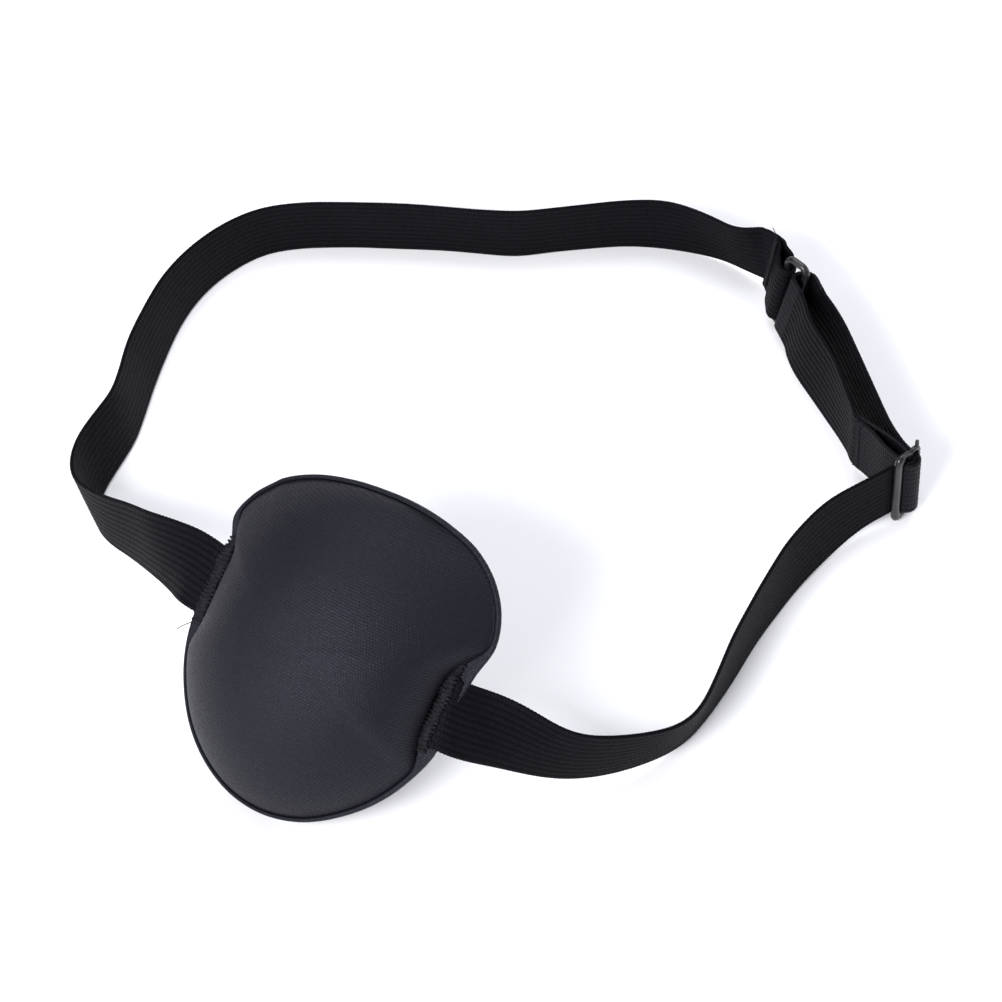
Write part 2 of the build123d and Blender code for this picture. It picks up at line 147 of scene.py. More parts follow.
class Frame:
    """A place in the shared frame, in mm, with its own X, Y and Z directions."""

    def __init__(self, origin, x_dir, z_dir):
        self.origin, self.x, self.z = np.array(origin, float), unit(x_dir), unit(z_dir)
        self.y = np.cross(self.z, self.x)

    def at(self, x, y, z=0.0):
        x, y, z = (np.asarray(c, float)[..., None] for c in (x, y, z))
        return self.origin + x * self.x + y * self.y + z * self.z


def patch_frame():
    """The middle of the seams' line: X along that line, Z out of the patch's front."""
    along, back = heading(PATCH_TURN), heading(PATCH_TURN + 90)
    tilt = math.radians(PATCH_TILT)
    up_patch = back * math.cos(tilt) + UP * math.sin(tilt)
    height = PATCH_BOTTOM * math.sin(tilt) + (RIM_THICK / 2 - SKIN_THICK) * math.cos(tilt)
    return Frame(placed(PATCH_X, PATCH_Y, height), along, np.cross(along, up_patch))


def leaning_frame(origin, turn, lean):
    """X heads along turn, and Z leans towards X's right-hand side."""
    a = math.radians(lean)
    return Frame(origin, heading(turn), UP * math.cos(a) + heading(turn - 90) * math.sin(a))


PATCH = patch_frame()
SLIDER = Frame(placed(SLIDER_X, SLIDER_Y, SLIDER_TALL / 2), heading(SLIDER_TURN), UP)
LOOP = leaning_frame(placed(RING_X, RING_Y, RING_Z), LOOP_TURN, LOOP_LEAN)
SWING = math.radians(RING_SWING)
NEAR_BAR = LOOP.at(-RING_PITCH * math.cos(SWING), -RING_PITCH * math.sin(SWING))
RETURN = leaning_frame(NEAR_BAR, RETURN_TURN, RETURN_LEAN)
SLIDER_WEB_Z = SLIDER_WEB_LIFT - SLIDER_TALL / 2
LOOP_WEB_Z = -WEB_WIDTH / 2 - LOOP_DROP
RETURN_WEB_Z = -WEB_WIDTH / 2 - RETURN_DROP


# ---- Mesh helpers ----------------------------------------------------------------------
def new_mesh(name, verts, faces, uv=None, sharp=None):
    """A mesh object from points in mm, quads or triangles, and a UV for each vertex."""
    mesh = bpy.data.meshes.new(name)
    mesh.from_pydata((np.asarray(verts) * MM).tolist(), [], faces)
    if uv is not None:
        layer = mesh.uv_layers.new(name="UVMap")
        corner = np.zeros(len(mesh.loops), np.int32)
        mesh.loops.foreach_get("vertex_index", corner)
        layer.data.foreach_set("uv", np.asarray(uv, np.float32)[corner].ravel())
    mesh.validate()
    mesh.polygons.foreach_set("use_smooth", np.ones(len(mesh.polygons), bool))
    if sharp:
        mesh.set_sharp_from_angle(angle=math.radians(sharp))
    obj = bpy.data.objects.new(name, mesh)
    bpy.context.scene.collection.objects.link(obj)
    return obj


def grid_faces(rows, cols, wrap=False):
    """Quads between neighbouring rows, closed across the columns if wrap."""
    last = cols if wrap else cols - 1
    r, c = np.meshgrid(np.arange(rows - 1), np.arange(last), indexing="ij")
    n = (c + 1) % cols
    quads = np.stack([r * cols + c, r * cols + n, (r + 1) * cols + n, (r + 1) * cols + c], -1)
    return quads.reshape(-1, 4).tolist()


def smooth_through(values, step):
    """A smooth curve through the rows of values, the first three of them a place."""
    values = np.asarray(values, float)
    gaps = np.linalg.norm(np.diff(values[:, :3], axis=0), axis=1)
    at = np.concatenate([[0], np.cumsum(gaps)])
    slope = np.gradient(values, at, axis=0)
    out = []
    for i, gap in enumerate(gaps):
        n = max(1, int(round(gap / step)))
        s = (np.arange(n) / n)[:, None]
        out.append(
            (2 * s**3 - 3 * s**2 + 1) * values[i] + (s**3 - 2 * s**2 + s) * gap * slope[i]
            + (3 * s**2 - 2 * s**3) * values[i + 1] + (s**3 - s**2) * gap * slope[i + 1]
        )
    return np.concatenate(out + [values[-1:]])


def resampled(values, step):
    """The same curve with evenly spaced points."""
    gaps = np.linalg.norm(np.diff(values[:, :3], axis=0), axis=1)
    at = np.concatenate([[0], np.cumsum(gaps)])
    n = max(2, int(round(at[-1] / step)) + 1)
    want = np.linspace(0, at[-1], n)
    return np.stack([np.interp(want, at, column) for column in values.T], -1), want


def eased(values, spread, hold=6.0):
    """The same rows with their small kinks averaged out, except near the two ends."""
    values, at = resampled(values, EASE_STEP)
    reach = int(3 * spread / EASE_STEP)
    kernel = np.exp(-0.5 * (np.arange(-reach, reach + 1) * EASE_STEP / spread) ** 2)
    padded = np.pad(values, ((reach, reach), (0, 0)), mode="edge")
    soft = np.stack([np.convolve(c, kernel / kernel.sum(), "valid") for c in padded.T], -1)
    share = np.clip(np.minimum(at, at[-1] - at) / hold, 0, 1)[:, None]
    share = share * share * (3 - 2 * share)
    return values * (1 - share) + soft * share


# ---- Webbing ---------------------------------------------------------------------------
def free_stations(rows):
    """Each row's place and lean, lifted so that the tilted band clears the table."""
    return [
        (placed(x, y, z + WEB_THICK / 2 * abs(math.sin(math.radians(a)))), a)
        for x, y, z, a in rows
    ]


def edge_and_across(stations, outward):
    """Rows of lower edge place and width direction, as the CAD source lays them."""
    rows, last = [], len(stations) - 1
    for i, (point, lean) in enumerate(stations):
        along = unit(stations[min(i + 1, last)][0] - stations[max(i - 1, 0)][0])
        out = unit(np.cross(along, UP)) * outward
        up = unit(UP - along * (UP @ along))
        a = math.radians(lean)
        rows.append(np.concatenate([point, up * math.cos(a) + out * math.sin(a)]))
    return rows


def flat_rows(place, path, z):
    """The same rows for a path drawn in a frame's own plane."""
    return [np.concatenate([place.at(x, y, z), place.z]) for x, y in path]


def arc(cx, cy, r, start, sweep, n=14):
    t = np.radians(start + sweep * np.arange(n + 1) / n)
    return [(cx + r * math.cos(a), cy + r * math.sin(a)) for a in t]


def section():
    """Across places and half thickness of the webbing's ribbed section."""
    n = RIBS * RIB_SAMPLES
    pitch = WEB_WIDTH / RIBS
    core = (np.arange(n + 1)) * pitch / RIB_SAMPLES
    rounding = np.array([0.0, 0.05, 0.13, 0.26])
    t = np.unique(np.concatenate([rounding, core, WEB_WIDTH - rounding[::-1]]))
    rib = np.sqrt(np.abs(np.sin(np.pi * t / pitch)) + 1e-4)
    half = WEB_THICK / 2 - RIB_DEPTH * (1 - rib)
    near = np.minimum(t, WEB_WIDTH - t)
    round_off = np.sqrt(np.clip(1 - (1 - np.clip(near / EDGE_ROUND, 0, 1)) ** 2, 0.02, 1))
    return t, half * round_off


def webbing(name, rows, along_start, wander, seed):
    """Ribbed webbing whose lower edge and width direction are the rows, with a slight wander."""
    path, s = resampled(np.asarray(rows, float), WEB_STEP)
    edge, across = path[:, :3], unit(path[:, 3:6])
    along = unit(np.gradient(edge + across * WEB_WIDTH / 2, axis=0))
    normal = unit(np.cross(along, across))
    t, half = section()
    s = s + along_start
    scallop = SCALLOP_DEPTH * (1 - np.abs(np.sin(np.pi * s / SCALLOP_PITCH)))
    inward = np.exp(-t / 0.35)[None, :] - np.exp(-(WEB_WIDTH - t) / 0.35)[None, :]
    place = t[None, :] + inward * scallop[:, None]
    soft = wander * (
        np.sin(s[:, None] / 7.3 + seed) * np.cos(t[None, :] / 4.1 + seed * 2)
        + 0.6 * np.sin(s[:, None] / 3.1 + seed * 3 + t[None, :] / 5.0)
    )
    knit = 0.018 * np.sin(2 * np.pi * s[:, None] / 1.0 + np.pi * np.floor(t[None, :] * RIBS / WEB_WIDTH))
    centre = edge[:, None, :] + across[:, None, :] * place[..., None] + normal[:, None, :] * soft[..., None]
    thick = (half[None, :] + knit * (half[None, :] > 0.3))[..., None] * normal[:, None, :]
    n, m = place.shape
    loop = np.concatenate([centre + thick, (centre - thick)[:, ::-1]], axis=1)
    width = np.concatenate([t, t[::-1] + 40.0])
    uv = np.stack(np.broadcast_arrays(width[None, :], s[:, None]), -1).reshape(-1, 2)
    faces = grid_faces(n, 2 * m, wrap=True)
    last = (n - 1) * 2 * m
    for i in range(m - 1):
        j = 2 * m - 1 - i
        faces.append([i, j, j - 1, i + 1])
        faces.append([last + i, last + i + 1, last + j - 1, last + j])
    return new_mesh(name, loop.reshape(-1, 3), faces, uv, sharp=60)


# ---- Patch -----------------------------------------------------------------------------
def closed_curve(points, n=720):
    """Radius of a smooth closed outline at evenly spaced angles."""
    p = np.asarray(points, float)
    wrapped = np.concatenate([p[-3:], p, p[:4]])
    flat = smooth_through(np.concatenate([wrapped, np.zeros((len(wrapped), 1))], axis=1), 0.4)
    angle = np.unwrap(np.arctan2(flat[:, 1], flat[:, 0]))
    radius = np.hypot(flat[:, 0], flat[:, 1])
    if angle[-1] < angle[0]:
        angle, radius = angle[::-1], radius[::-1]
    want = np.linspace(0, 2 * np.pi, n, endpoint=False)
    base = want + 2 * np.pi * np.ceil((angle[0] - want) / (2 * np.pi))
    return np.interp(base, angle, radius)


ANGLES = 420
THETA = np.linspace(0, 2 * np.pi, ANGLES, endpoint=False)
RIM_RADIUS = closed_curve(RIM, ANGLES)
FOOT_RADIUS = closed_curve(DOME_FOOT, ANGLES)
OVAL_RADIUS = 1 / np.hypot(np.cos(THETA) / OVAL_WIDE, np.sin(THETA) / OVAL_TALL)
BESIDE_SEAM = np.exp(-((FOOT_RADIUS * np.sin(THETA) / 11.5) ** 6))
STEEP = BESIDE_SEAM * (np.cos(THETA) > 0)
SWELL_RADIUS = FOOT_RADIUS + (RIM_RADIUS - 1.0 - FOOT_RADIUS) * (1 - BESIDE_SEAM) + 1.1 * STEEP


def dome_rings(inset, height, base, steps):
    """Rings of (radius, height) from the top of a dome down to its foot."""
    rings = []
    for phi in np.linspace(0.02, np.pi / 2, steps):
        size = math.sin(phi) ** (2 / DOME_POWER)
        share = math.cos(phi) ** (2 / DOME_POWER)
        radius = (SWELL_RADIUS * (1 - share) + OVAL_RADIUS * share) * size
        fall = (1 - size**DOME_POWER) ** (DOME_SIDE + (1 / DOME_POWER - DOME_SIDE) * STEEP)
        z = base + (height - base) * fall
        rings.append((radius * (1 - inset / RIM_HALF), z))
    return rings


def rim_rings(inset, z, edge_inset, fractions):
    foot = SWELL_RADIUS * (1 - inset / RIM_HALF)
    edge = RIM_RADIUS * (1 - edge_inset / RIM_HALF)
    return [(foot + (edge - foot) * f, np.full(ANGLES, z)) for f in fractions]


def shell(name, outer, inner, bumps, sharp=50):
    """A closed body between two stacks of rings that meet at the patch's edge."""
    rings = outer + inner[::-1]
    radius = np.array([r for r, _ in rings])
    z = np.array([h for _, h in rings])
    x, y = radius * np.cos(THETA), radius * np.sin(THETA)
    z = z + bumps(x, y, z)
    points = PATCH.at(x, y, z).reshape(-1, 3)
    ends = PATCH.at(
        np.array([0.0, 0.0]), np.array([0.0, 0.0]), np.array([z[0].mean(), z[-1].mean()])
    )
    n = len(rings)
    verts = np.concatenate([points, ends])
    faces = grid_faces(n, ANGLES, wrap=True)
    low = (n - 1) * ANGLES
    for i in range(ANGLES):
        j = (i + 1) % ANGLES
        faces.append([n * ANGLES, j, i])
        faces.append([n * ANGLES + 1, low + i, low + j])
    uv = np.concatenate([np.stack([x, y], -1).reshape(-1, 2), np.zeros((2, 2))])
    return new_mesh(name, verts, faces, uv, sharp=sharp)


def unevenness(amount):
    def bumps(x, y, z):
        return amount * (
            np.sin(x / 5.3 + 0.7) * np.cos(y / 6.1 - 0.4)
            + 0.5 * np.sin(x / 2.9 - y / 3.7)
        ) * np.clip(z / DOME_HEIGHT, 0, 1)
    return bumps


HALF_FOAM = RIM_THICK / 2 - SKIN_THICK
FINE = [0.02, 0.06, 0.12, 0.22, 0.36, 0.52, 0.7, 0.86, 0.95, 0.985, 1.0]
RIM_TOP = RIM_THICK / 2


def front_cover():
    outer = dome_rings(0, DOME_HEIGHT, RIM_TOP, 72)
    band = rim_rings(-0.2, RIM_TOP, 0.12, FINE)
    pressed = []
    for f, (radius, z) in zip(FINE, band):
        lift = 0.3 * math.exp(-f * 7) - 0.1 * f**8
        pressed.append((radius, z + lift))
    edge = [(band[-1][0] + 0.12, np.full(ANGLES, z)) for z in (HALF_FOAM - 0.05, 0.0, -0.3)]
    inner = dome_rings(SKIN_THICK, DOME_HEIGHT - SKIN_THICK, HALF_FOAM + 0.02, 40)
    under = rim_rings(SKIN_THICK, HALF_FOAM + 0.02, 0.35, [0.5, 0.95])
    under.append((under[-1][0], np.full(ANGLES, -0.25)))
    return shell("front_cover_knit", outer + pressed + edge, inner + under, unevenness(0.07))


def foam_cup():
    outer = dome_rings(SKIN_THICK + 0.04, DOME_HEIGHT - SKIN_THICK - 0.04, HALF_FOAM, 48)
    band = rim_rings(SKIN_THICK, HALF_FOAM - 0.01, 0.5, [0.3, 0.7, 0.93, 0.98])
    edge = rim_rings(SKIN_THICK, 0.25, 0.42, [1.0]) + rim_rings(SKIN_THICK, -0.25, 0.42, [1.0])
    under = rim_rings(FOAM_FOOT, -HALF_FOAM + 0.01, 0.5, [0.98, 0.93, 0.7, 0.3])[::-1]
    inner = dome_rings(FOAM_FOOT, DOME_HEIGHT - FOAM_THICK, -HALF_FOAM + 0.01, 40)
    return shell("foam_cup_padded", outer + band + edge, inner + under, unevenness(0.05), 40)


def back_lining():
    foot, top = FOAM_FOOT + 0.1, DOME_HEIGHT - FOAM_THICK - 0.1
    low = -RIM_TOP - 0.02
    outer = dome_rings(foot, top, -HALF_FOAM - 0.02, 40)
    band = rim_rings(foot, -HALF_FOAM - 0.02, SKIN_INSET, [0.1, 0.4, 0.8, 1.0])
    inner = dome_rings(foot + SKIN_THICK, top - SKIN_THICK, low, 60)
    under = rim_rings(foot + SKIN_THICK, low, SKIN_INSET, FINE)
    return shell("back_lining_knit", outer + band, inner + under, unevenness(0.05))


# ---- Stitching -------------------------------------------------------------------------
def tube(path, radius, sides=6):
    """Vertices and faces of a thread along the path, closed at both ends."""
    path = np.asarray(path, float)
    along = unit(np.gradient(path, axis=0))
    helper = np.where(np.abs(along @ UP)[:, None] > 0.9, [[1.0, 0.0, 0.0]], [[0.0, 0.0, 1.0]])
    a = unit(np.cross(along, helper))
    b = np.cross(along, a)
    t = np.linspace(0, 2 * np.pi, sides, endpoint=False)
    ring = a[:, None, :] * np.cos(t)[None, :, None] + b[:, None, :] * np.sin(t)[None, :, None]
    verts = (path[:, None, :] + ring * radius).reshape(-1, 3)
    faces = grid_faces(len(path), sides, wrap=True)
    faces.append(list(range(sides))[::-1])
    faces.append([len(verts) - sides + i for i in range(sides)])
    return verts, faces


def threads(name, paths):
    """One piece from several threads, each (path, radius)."""
    verts, faces, start, uv = [], [], 0, []
    for path, radius in paths:
        v, f = tube(path, radius)
        verts.append(v)
        faces += [[i + start for i in face] for face in f]
        uv.append(np.stack([np.arange(len(v)) % 6, np.arange(len(v)) / 6], -1))
        start += len(v)
    return new_mesh(name, np.concatenate(verts), faces, np.concatenate(uv))


def zigzag(place, low, high, wide, pitch, height, jitter, seed):
    """A dense zigzag along the place's Y, as points of a thread."""
    rng = np.random.default_rng(seed)
    n = int((high - low) / pitch)
    points = []
    for i in range(n):
        y = low + (i + 0.5) * pitch
        for side in (-1, 1):
            reach = side * (wide / 2 + rng.uniform(-jitter, jitter))
            yy = y + side * pitch * 0.25
            lift = height(yy) + rng.uniform(0, 0.07)
            points += [
                place.at(reach * 0.96, yy, lift - 0.22), place.at(reach * 0.85, yy, lift),
                place.at(reach * 0.3, yy, lift + 0.05),
                place.at(-reach * 0.3, yy + side * 0.02, lift + 0.05),
            ]
    return np.array(points)


def patch_seam(name, side, extra):
    place = Frame(PATCH.at(side * (SEAM_U - 0.5), 0.6), PATCH.x, PATCH.z)

    def height(y):
        over = 1 / (1 + math.exp((abs(y + 0.6) - WEB_WIDTH / 2 - 0.1) * 4.5))
        return RIM_TOP + 0.16 + (WEB_THICK + 0.05) * over

    paths = []
    for k, (shift, pitch) in enumerate(((0.0, 0.78), (0.2, 0.9), (-0.15, 0.84))):
        moved = Frame(place.at(shift, 0.13 * k), place.x, place.z)
        path = zigzag(moved, -SEAM_LONG / 2, SEAM_LONG / 2, SEAM_WIDE - 0.2 * k, pitch,
                      lambda y, k=k: height(y) + 0.1 * k, 0.3, 11 + k)
        paths.append((path, SEAM_THREAD_R))
    for points, radius in extra:
        rows = [np.append(place.at(*p), 0.0) for p in points]
        paths.append((smooth_through(rows, 0.25)[:, :3], radius))
    return threads(name, paths)


def fold_seam(name, place, x, y, turn, wide, extra):
    """Zigzag closing a fold: place's Z is the webbing's width direction."""
    a = math.radians(turn)
    along = place.x * math.cos(a) + place.y * math.sin(a)
    face = Frame(place.at(x, y), along, np.cross(along, place.z))
    paths = [
        (zigzag(face, -FOLD_SEAM_HALF, FOLD_SEAM_HALF, wide, 0.5, lambda v: 0.14, 0.1, 31), THREAD_R),
        (zigzag(face, -FOLD_SEAM_HALF, FOLD_SEAM_HALF, wide * 0.8, 0.55, lambda v: 0.2, 0.1, 32),
         THREAD_R),
    ]
    for points, radius in extra:
        rows = [np.append(face.at(*p), 0.0) for p in points]
        paths.append((smooth_through(rows, 0.25)[:, :3], radius))
    return threads(name, paths)


# ---- Hardware --------------------------------------------------------------------------
def bent_bar(place, left, right, half_tall, corner, radius, depth):
    """A moulded bar bent round a window; radius gives its half width at each point's X."""
    corners = (
        (right, half_tall, 0), (left, half_tall, 90),
        (left, -half_tall, 180), (right, -half_tall, 270),
    )
    path = []
    for x, z, start in corners:
        cx, cz = x - math.copysign(corner, x - (left + right) / 2), z - math.copysign(corner, z)
        path += arc(cx, cz, corner, start, 90, 12)
    path = np.array(path)
    closed = np.concatenate([path, path[:1]])
    even, _ = resampled(np.concatenate([closed, np.zeros((len(closed), 1))], 1), 0.3)
    even = even[:-1, :2]
    along = unit(np.roll(even, -1, 0) - np.roll(even, 1, 0))
    out = np.stack([along[:, 1], -along[:, 0]], -1)
    t = np.linspace(0, 2 * np.pi, 20, endpoint=False)
    size = np.array([radius(x) for x in even[:, 0]])[:, None]
    x = even[:, :1] + out[:, :1] * np.cos(t) * size
    z = even[:, 1:] + out[:, 1:] * np.cos(t) * size
    y = np.sin(t)[None, :] * size * depth
    verts = place.at(x, y, z).reshape(-1, 3)
    faces = grid_faces(len(even) + 1, len(t), wrap=True)
    return verts, [[i % len(verts) for i in face] for face in faces]


def peg(place, x, y, low, high, radius):
    """A small upright peg with a rounded tip."""
    t = np.linspace(0, 2 * np.pi, 16, endpoint=False)
    tip = np.linspace(0, np.pi / 2, 7)
    rows = [(radius * 1.25, low), (radius * 1.05, low + 0.3)]
    rows += [(max(radius * math.cos(a), 0.03), high - radius + radius * math.sin(a)) for a in tip]
    verts = np.concatenate([place.at(x + r * np.cos(t), y + r * np.sin(t), np.full(16, z)) for r, z in rows])
    faces = grid_faces(len(rows), 16, wrap=True)
    faces += [list(range(16))[::-1], [len(verts) - 16 + i for i in range(16)]]
    return verts, faces


def merged(name, parts):
    """One mesh from several closed bodies."""
    verts, faces, start = [], [], 0
    for v, f in parts:
        verts.append(v)
        faces += [[i + start for i in face] for face in f]
        start += len(v)
    verts = np.concatenate(verts)
    return new_mesh(name, verts, faces, np.zeros((len(verts), 2)))


def moulded_slider():
    def front(x):
        return 0.66 + 0.42 * min(max((-x - 1.6) / 1.2, 0), 1)

    half = SLIDER_TALL / 2
    tops = [
        bent_bar(SLIDER, -SLIDER_PITCH, 0.1, half - 0.75, 1.55, front, 0.8),
        bent_bar(SLIDER, -0.1, 2.75, half - 0.95, 1.3, lambda x: 0.56, 0.95),
        peg(SLIDER, 2.3, 0.0, half - 1.0, half + 1.0, 0.42),
    ]
    return merged("slider_moulding", tops)


# ---- Materials -------------------------------------------------------------------------
class Nodes:
    """Short forms for building a node material."""

    def __init__(self, name):
        self.mat = bpy.data.materials.new(name)
        self.mat.use_nodes = True
        self.tree = self.mat.node_tree
        self.tree.nodes.clear()
        self.shader = self.add("ShaderNodeBsdfPrincipled")
        out = self.add("ShaderNodeOutputMaterial")
        self.tree.links.new(self.shader.outputs[0], out.inputs[0])

    def add(self, kind, **settings):
        node = self.tree.nodes.new(kind)
        for key, value in settings.items():
            setattr(node, key, value)
        return node

    def link(self, source, target):
        self.tree.links.new(source, target)

    def put(self, socket, value):
        if isinstance(value, bpy.types.NodeSocket):
            self.link(value, socket)
        else:
            socket.default_value = value

    def math(self, op, a, b=0.0, c=0.0):
        node = self.add("ShaderNodeMath", operation=op)
        for socket, value in zip(node.inputs, (a, b, c)):
            self.put(socket, value)
        return node.outputs[0]

    def uv(self):
        node = self.add("ShaderNodeUVMap", uv_map="UVMap")
        parts = self.add("ShaderNodeSeparateXYZ")
        self.link(node.outputs[0], parts.inputs[0])
        return parts.outputs[0], parts.outputs[1]

    def object_place(self):
        return self.add("ShaderNodeTexCoord").outputs["Object"]

    def noise(self, vector, scale, detail=3.0, rough=0.6):
        node = self.add("ShaderNodeTexNoise")
        self.link(vector, node.inputs["Vector"])
        node.inputs["Scale"].default_value = scale
        node.inputs["Detail"].default_value = detail
        node.inputs["Roughness"].default_value = rough
        return node.outputs[0]

    def ramp(self, value, low, high):
        node = self.add("ShaderNodeMapRange", clamp=True)
        self.put(node.inputs["Value"], value)
        node.inputs["From Min"].default_value = low
        node.inputs["From Max"].default_value = high
        return node.outputs[0]

    def colour(self, factor, a, b):
        node = self.add("ShaderNodeMix", data_type="RGBA")
        self.put(node.inputs[0], factor)
        node.inputs[6].default_value = (*a, 1)
        node.inputs[7].default_value = (*b, 1)
        return node.outputs[2]

    def bump(self, height, strength, distance, before=None):
        node = self.add("ShaderNodeBump")
        node.inputs["Strength"].default_value = strength
        node.inputs["Distance"].default_value = distance
        self.link(height, node.inputs["Height"])
        if before is not None:
            self.link(before, node.inputs["Normal"])
        return node.outputs[0]

    def finish(self, colour=None, rough=None, normal=None, **constants):
        for key, value in constants.items():
            self.shader.inputs[key.replace("_", " ")].default_value = value
        if colour is not None:
            self.link(colour, self.shader.inputs["Base Color"])
        if rough is not None:
            self.put(self.shader.inputs["Roughness"], rough)
        if normal is not None:
            self.link(normal, self.shader.inputs["Normal"])
        return self.mat


def knit_material(name, dark, light, loop=0.58, gloss=0.27):
    """Fine weft knit: rows of small uneven loops with dark gaps, lint and a slight mottle."""
    n = Nodes(name)
    u, v = n.uv()
    place = n.object_place()
    drift = n.noise(place, 420.0, 2.0, 0.5)
    row = n.math("MULTIPLY_ADD", v, 1 / loop, n.math("MULTIPLY", drift, 0.9))
    offset = n.math("MULTIPLY", n.math("MODULO", n.math("FLOOR", row), 2.0), 0.5)
    column = n.math("ADD", n.math("MULTIPLY_ADD", u, 1 / loop, n.math("MULTIPLY", drift, 1.3)), offset)
    across = n.math("ABSOLUTE", n.math("SINE", n.math("MULTIPLY", column, math.pi)))
    down = n.math("ABSOLUTE", n.math("SINE", n.math("MULTIPLY", row, math.pi)))
    loops = n.math("MULTIPLY", n.math("MULTIPLY_ADD", across, 0.75, 0.25), down)
    fuzz = n.noise(place, 2300.0, 3.0, 0.75)
    mottle = n.noise(place, 260.0, 4.0, 0.6)
    specks = n.ramp(n.noise(place, 1300.0, 1.0, 0.4), 0.72, 0.80)
    grain = n.ramp(fuzz, 0.34, 0.68)
    loop_tone = n.math("MULTIPLY_ADD", loops, 0.8, 0.1)
    tone = n.math("MULTIPLY", loop_tone, n.math("MULTIPLY_ADD", grain, 1.3, 0.2))
    tone = n.math("MULTIPLY", tone, n.math("MULTIPLY_ADD", mottle, 1.0, 0.5))
    tone = n.math("ADD", tone, n.math("MULTIPLY", specks, 0.55))
    height = n.math("MULTIPLY_ADD", grain, 0.6, loops)
    normal = n.bump(height, 0.6, 0.0001)
    rough = n.math("MULTIPLY_ADD", n.math("MULTIPLY", loops, grain), -0.26, 0.64)
    return n.finish(
        n.colour(n.ramp(tone, 0.0, 0.9), dark, light), rough, normal,
        Specular_Tint=(0.8, 0.82, 1.0, 1), Specular_IOR_Level=gloss,
    )


def webbing_material(name, dark, light, dashes=1.0, grid=0.0, gloss=0.07):
    """Ribbed elastic: short slanting stitches along each rib, dark gaps between ribs."""
    n = Nodes(name)
    u, v = n.uv()
    pitch = WEB_WIDTH / RIBS
    rib = n.math("MULTIPLY", u, 1 / pitch)
    side = n.math("ABSOLUTE", n.math("SUBTRACT", n.math("FRACT", rib), 0.5))
    odd = n.math("MULTIPLY", n.math("MODULO", n.math("FLOOR", rib), 2.0), 0.5)
    slant = n.math("MULTIPLY_ADD", side, 1.2, n.math("MULTIPLY_ADD", v, 1 / STITCH_LONG, odd))
    dash = n.math("MULTIPLY_ADD", n.math("SINE", n.math("MULTIPLY", slant, 2 * math.pi)), 0.5, 0.5)
    gap = n.math("POWER", n.math("MULTIPLY", side, 2.0), 3.0)
    crown = n.math("SUBTRACT", 1.0, n.math("MULTIPLY", gap, 0.95))
    wefts = n.math("ABSOLUTE", n.math("SINE", n.math("MULTIPLY", v, math.pi / STITCH_LONG)))
    place = n.object_place()
    fuzz = n.noise(place, 2300.0, 3.0, 0.75)
    mottle = n.noise(place, 120.0, 3.0, 0.6)
    grain = n.ramp(fuzz, 0.34, 0.68)
    glints = n.ramp(n.noise(place, 900.0, 1.0, 0.4), 0.66, 0.76)
    stitch = n.math("MULTIPLY", n.math("MULTIPLY_ADD", dash, 0.55 * dashes, 1 - 0.55 * dashes), crown)
    tone = n.math("MULTIPLY", stitch, n.math("MULTIPLY_ADD", grain, 0.8, 0.4))
    tone = n.math("MULTIPLY", tone, n.math("MULTIPLY_ADD", mottle, 0.9, 0.55))
    tone = n.math("ADD", tone, n.math("MULTIPLY", n.math("MULTIPLY", glints, dash), 0.7))
    height = n.math("MULTIPLY_ADD", wefts, grid, n.math("MULTIPLY_ADD", grain, 0.35, stitch))
    normal = n.bump(height, 0.7, 0.00016)
    return n.finish(
        n.colour(n.ramp(tone, 0.0, 1.1), dark, light), n.math("MULTIPLY_ADD", grain, -0.1, 0.62), normal,
        Specular_Tint=(0.85, 0.85, 1.0, 1), Specular_IOR_Level=gloss,
    )


def thread_material(name, dark, light):
    n = Nodes(name)
    u, v = n.uv()
    twist = n.math("SINE", n.math("MULTIPLY_ADD", v, 2.2, n.math("MULTIPLY", u, 1.05)))
    place = n.object_place()
    fuzz = n.noise(place, 3000.0, 3.0, 0.6)
    tone = n.math("MULTIPLY_ADD", twist, 0.25, fuzz)
    return n.finish(
        n.colour(n.ramp(tone, 0.2, 0.9), dark, light), n.math("MULTIPLY_ADD", fuzz, 0.2, 0.5),
        n.bump(tone, 0.4, 0.00005), Specular_IOR_Level=0.16,
    )


def foam_material(name, dark, light):
    n = Nodes(name)
    place = n.object_place()
    cells = n.add("ShaderNodeTexVoronoi")
    n.link(place, cells.inputs["Vector"])
    cells.inputs["Scale"].default_value = 1800.0
    fuzz = n.noise(place, 900.0, 4.0, 0.7)
    tone = n.math("MULTIPLY_ADD", cells.outputs[0], 0.6, n.math("MULTIPLY", fuzz, 0.6))
    return n.finish(
        n.colour(n.ramp(tone, 0.2, 0.9), dark, light), n.math("MULTIPLY_ADD", fuzz, 0.1, 0.85),
        n.bump(tone, 0.7, 0.0002), Specular_IOR_Level=0.2,
    )


def nylon_material(name):
    """Moulded nylon: glossy, with faint flow marks, scuffs and paler worn places."""
    n = Nodes(name)
    place = n.object_place()
    flow = n.noise(place, 420.0, 3.0, 0.5)
    scuff = n.noise(place, 2200.0, 4.0, 0.75)
    worn = n.ramp(n.math("MULTIPLY_ADD", flow, 0.6, n.math("MULTIPLY", scuff, 0.5)), 0.45, 0.85)
    marks = n.math("MULTIPLY_ADD", scuff, 0.4, flow)
    return n.finish(
        n.colour(worn, (0.004, 0.004, 0.005), (0.018, 0.018, 0.022)),
        n.math("MULTIPLY_ADD", scuff, 0.2, 0.24), n.bump(marks, 0.25, 0.0001),
        Coat_Weight=0.12, Coat_Roughness=0.15, Specular_IOR_Level=0.4,
    )


